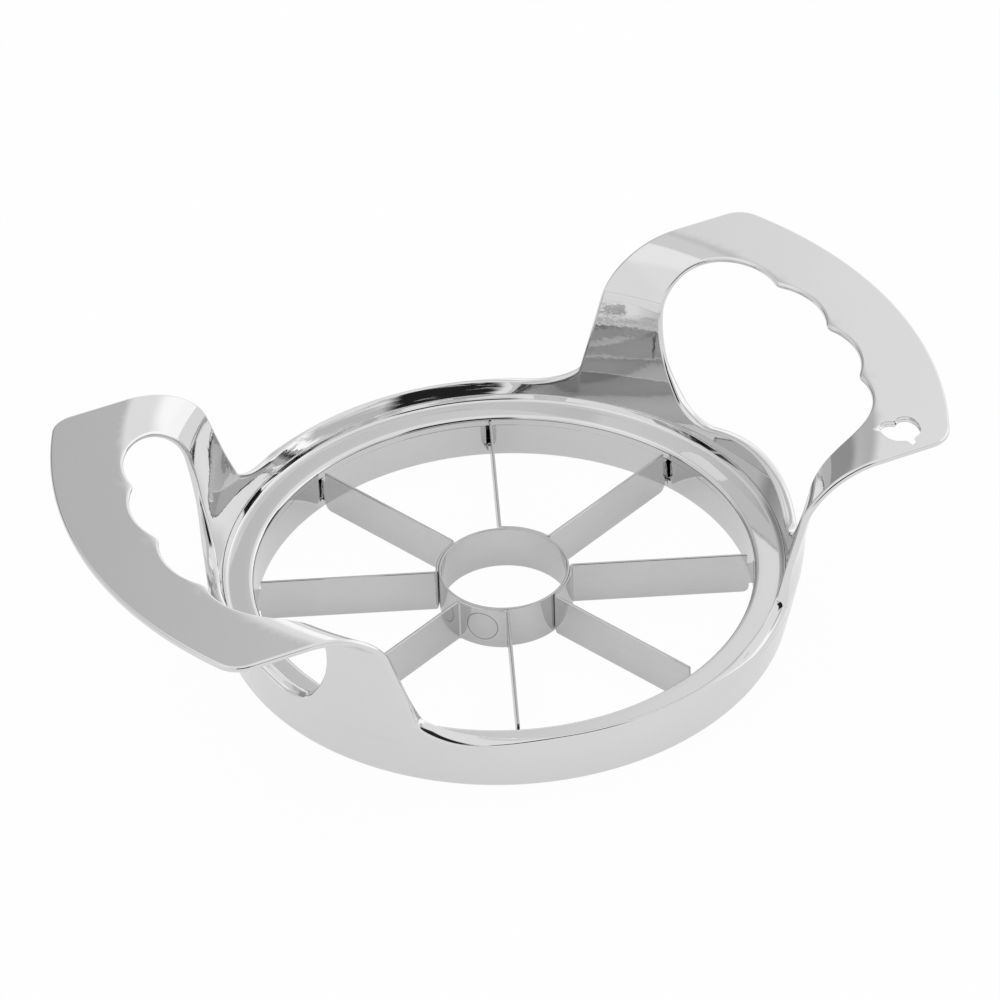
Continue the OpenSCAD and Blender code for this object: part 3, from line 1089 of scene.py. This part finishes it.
def polishedMetal():
    material = bpy.data.materials.new("polished_metal")
    tree = emptyTree(material)
    place = placeOf(tree)
    spot, y, z, radius = [place[key] for key in ("spot", "y", "z", "radius")]
    legs = between(z, *inMetres(chrome["legs"]))
    waves = noise(spot, chrome["rippleScale"], detail=2.0) * (1 + legs * chrome["legRipple"])

    # turning lines on the free lip
    lip = softStep(z, *inMetres(chrome["lipFoot"])) * (1 - softStep(radius, *inMetres(chrome["lipOut"])))
    lip = lip * (1 - softStep(z, *inMetres(chrome["lipTop"])))
    lip = lip * softStep(y * y, *[side * side for side in inMetres(chrome["lipSide"])])
    roundScale, acrossScale = chrome["streakScale"]
    lines = packed(place["turn"] * roundScale, radius * acrossScale, z * acrossScale)
    turned = noise(lines, scale=1.0, detail=2.0)
    dull = softStep(turned, *chrome["streakDull"]) * lip * chrome["streakHaze"]
    height = waves * (chrome["ripple"] * mm) + turned * lip * (chrome["streak"] * mm)
    bump = tree.node("ShaderNodeBump", None, {"Distance": 1.0, "Height": height})

    # painted shade: the channel under the cover ring is darkened to a small share of its colour
    paintedChannelShade = between(radius, *inMetres(chrome["channelShadeAcross"]))
    paintedChannelShade = paintedChannelShade * between(z, *inMetres(chrome["channelShadeHeight"]))
    cloud = noise(spot, chrome["cloudScale"], detail=3.0) * chrome["cloud"]
    colour = cloud + (chrome["colour"] - chrome["cloud"] / 2)
    haze = noise(spot, chrome["hazeScale"], detail=4.0) * chrome["haze"]
    bsdf = tree.node("ShaderNodeBsdfPrincipled", None, {
        "Base Color": gray(colour * (1 - paintedChannelShade * (1 - chrome["channel"]))),
        "Metallic": 1.0,
        "Roughness": haze + chrome["roughness"] + dull,
        "Normal": bump,
    })
    tree.node("ShaderNodeOutputMaterial", None, {"Surface": bsdf})
    return material


steel = {
    "colour": 0.68,
    "cloud": 0.05,
    "cloudScale": 140,
    "roughness": 0.045,
    "haze": 0.06,
    "grain": 0.0016,             # height of the rolling lines
    "grainScale": (4, 240, 5200),  # round the axis, outwards and upwards
    "topEdge": 0.8,              # share of the colour left on the sheared upper edges
    "topHeight": (8.96, 9.06),   # heights between which those set in
    "weldTurn": 225,             # degrees, place of the spot weld on a lap
    "weldHeight": 5.0,
    "weldRadius": 3.0,
    "weldLine": 0.09,
    "weldDepth": 0.03,
    "weldShade": 0.55,           # how much darker its line is
    "weldInside": 0.04,          # how much darker the metal within it is
    "weldFace": (11.9, 12.1),    # distances from the axis between which the mark sets in
}


def satinSteel():
    material = bpy.data.materials.new("blade_steel")
    tree = emptyTree(material)
    place = placeOf(tree)
    x, y, z = [place[key] for key in "xyz"]
    cloud = noise(place["spot"], steel["cloudScale"], detail=3.0)
    roundScale, outScale, upScale = steel["grainScale"]
    lines = packed(place["turn"] * roundScale, place["radius"] * outScale, z * upScale)
    grain = noise(lines, scale=1.0, detail=3.0)

    # spot weld, a ring pressed into the lap at the front
    angle = math.radians(steel["weldTurn"])
    aside = y * math.cos(angle) - x * math.sin(angle)
    rise = z - steel["weldHeight"] * mm
    away = (aside * aside + rise * rise).root()
    weldRadius, line = inMetres([steel["weldRadius"], steel["weldLine"]])
    facing = softStep(x * math.cos(angle) + y * math.sin(angle), *inMetres(steel["weldFace"]))
    weld = between(away, weldRadius - line, weldRadius + line, line) * facing
    inside = (1 - softStep(away, weldRadius - line, weldRadius + line)) * facing

    height = grain * (steel["grain"] * mm) - weld * (steel["weldDepth"] * mm)
    bump = tree.node("ShaderNodeBump", None, {"Distance": 1.0, "Height": height})
    top = softStep(z, *inMetres(steel["topHeight"]))
    colour = cloud * steel["cloud"] + grain * steel["cloud"] + (steel["colour"] - steel["cloud"])
    colour = colour * (1 - top * (1 - steel["topEdge"]))
    colour = colour * (1 - weld * steel["weldShade"]) * (1 - inside * steel["weldInside"])
    bsdf = tree.node("ShaderNodeBsdfPrincipled", None, {
        "Base Color": gray(colour),
        "Metallic": 1.0,
        "Roughness": cloud * steel["haze"] + steel["roughness"],
        "Normal": bump,
    })
    tree.node("ShaderNodeOutputMaterial", None, {"Surface": bsdf})
    return material


def dress(pieces, material):
    for piece in pieces:
        piece.data.materials.clear()
        piece.data.materials.append(material)


dress([framePiece, coverPiece], polishedMetal())
dress([corePiece, *bladePieces], satinSteel())
print("finishes", len(bpy.data.materials))

# Camera at the photograph's viewing angle, with turns in degrees

camera = {
    "focal": 225.93,
    "sensor": 36,
    "distance": 1166.4,
    "elevation": 37.793,
    "azimuth": -24.562,
    "roll": -1.961,
    "aside": -0.724,
    "above": 12.546,
    "pivot": 9.2,        # height of the cover ring's flat top
    "clip": (50, 20000),
}


def placeCamera():
    azimuth = math.radians(camera["azimuth"])
    elevation = math.radians(camera["elevation"])
    back = Vector((math.sin(azimuth) * math.cos(elevation),
                   -math.cos(azimuth) * math.cos(elevation),
                   math.sin(elevation)))
    right = Vector((math.cos(azimuth), math.sin(azimuth), 0))
    up = back.cross(right)
    turn = Matrix.Rotation(math.radians(camera["roll"]), 3, back)
    right = turn @ right
    up = turn @ up
    spot = back * camera["distance"] + right * camera["aside"] + up * camera["above"]
    spot += Vector((0, 0, camera["pivot"]))
    lens = bpy.data.cameras.new("photo_camera")
    lens.lens = camera["focal"]
    lens.sensor_width = camera["sensor"]
    lens.clip_start, lens.clip_end = inMetres(camera["clip"])
    holder = bpy.data.objects.new("photo_camera", lens)
    bpy.context.scene.collection.objects.link(holder)
    facing = Matrix((right, up, back)).transposed()
    holder.matrix_world = Matrix.Translation(spot * mm) @ facing.to_4x4()
    bpy.context.scene.camera = holder


placeCamera()
print("camera placed")

# Studio: a pale floor in a white room with a dim corner at the back left and a dark camera side

studio = {
    "room": 0.98,
    "floorSize": 6000,
    "floorColour": 0.84,
    "floorClear": 0.97,      # share of plain white that the camera sees on the floor
    "floorGloss": 0.70,      # the same for metal
    "shadedRingGloss": 0.40,       # the same for metal inside the ring, less white as a painted shade under the ring
    "shadedRingEdge": (40, 56),    # radii between which one runs into the other
    # level, then left, right, low and high edges in degrees from the back and the horizon, then softness
    "patches": [
        (0.94, -122, -98, -14, 78, 6),      # panel on the left
        (0.82, -16, 36, 44, 74, 4),         # high panel at the back
        (1.08, -102, -16, 56, 75, 5),       # high light on the left
        (0.78, -76, 14, -14, 50, 5),        # wall at the back left
        (0.36, -34, 8, -14, 28, 6),         # dim corner at the back
        (0.58, -6, 24.25, 27, 46, 6.75),    # dim panel above it
        (1.30, 60, 132, -14, 34, 8),        # broad light on the right
        (1.25, 14, 92, -14, 14, 5),         # low light on the right
        (0.62, 124, 200, 14, 30, 5),        # dim wall behind the camera, in two parts
        (0.62, -200, -122, 14, 30, 5),
        (0.02, 162, 200, 9, 44, 4),         # dark camera side, in two parts
        (0.02, -200, -148, 9, 44, 4),
    ],
}


def softStudio():
    world = bpy.data.worlds.new("soft_studio")
    bpy.context.scene.world = world
    tree = emptyTree(world)
    x, y, z = partsOf(tree.node("ShaderNodeTexCoord", output="Generated"))
    heading = x.maths("DEGREES", x.maths("ARCTAN2", x, y))
    height = z.maths("DEGREES", z.maths("ARCSINE", z))
    level = studio["room"]
    for glow, left, right, low, high, soft in studio["patches"]:
        share = between(heading, left, right, soft) * between(height, low, high, soft)
        level = level + (glow - level) * share
    seen = tree.node("ShaderNodeLightPath", output="Is Camera Ray")
    light = tree.node("ShaderNodeBackground", None, {
        "Color": (1, 1, 1, 1),
        "Strength": level + (1 - level) * seen,
    })
    tree.node("ShaderNodeOutputWorld", None, {"Surface": light})


def paleFloor():
    bpy.ops.object.select_all(action="DESELECT")
    bpy.ops.mesh.primitive_plane_add(size=studio["floorSize"] * mm)
    floor = named("floor")
    material = bpy.data.materials.new("pale_floor")
    tree = emptyTree(material)
    seen = tree.node("ShaderNodeLightPath", output="Is Camera Ray")
    through = seen.beside("Is Transmission Ray")
    # painted shade: metal sees less plain white on the floor inside the ring than outside it
    outside = softStep(placeOf(tree)["radius"], *inMetres(studio["shadedRingEdge"]))
    gloss = outside * (studio["floorGloss"] - studio["shadedRingGloss"]) + studio["shadedRingGloss"]
    share = (seen + through) * studio["floorClear"] + seen.beside("Is Glossy Ray") * gloss
    colour = studio["floorColour"]
    matt = tree.node("ShaderNodeBsdfDiffuse", None, {"Color": (colour, colour, colour, 1)})
    white = tree.node("ShaderNodeEmission", None, {"Color": (1, 1, 1, 1), "Strength": 1.0})
    both = tree.node("ShaderNodeMixShader", None, {0: share, 1: matt, 2: white})
    tree.node("ShaderNodeOutputMaterial", None, {"Surface": both})
    floor.data.materials.append(material)


softStudio()
paleFloor()
print("studio ready")

bpy.context.scene.view_settings.view_transform = "Standard"
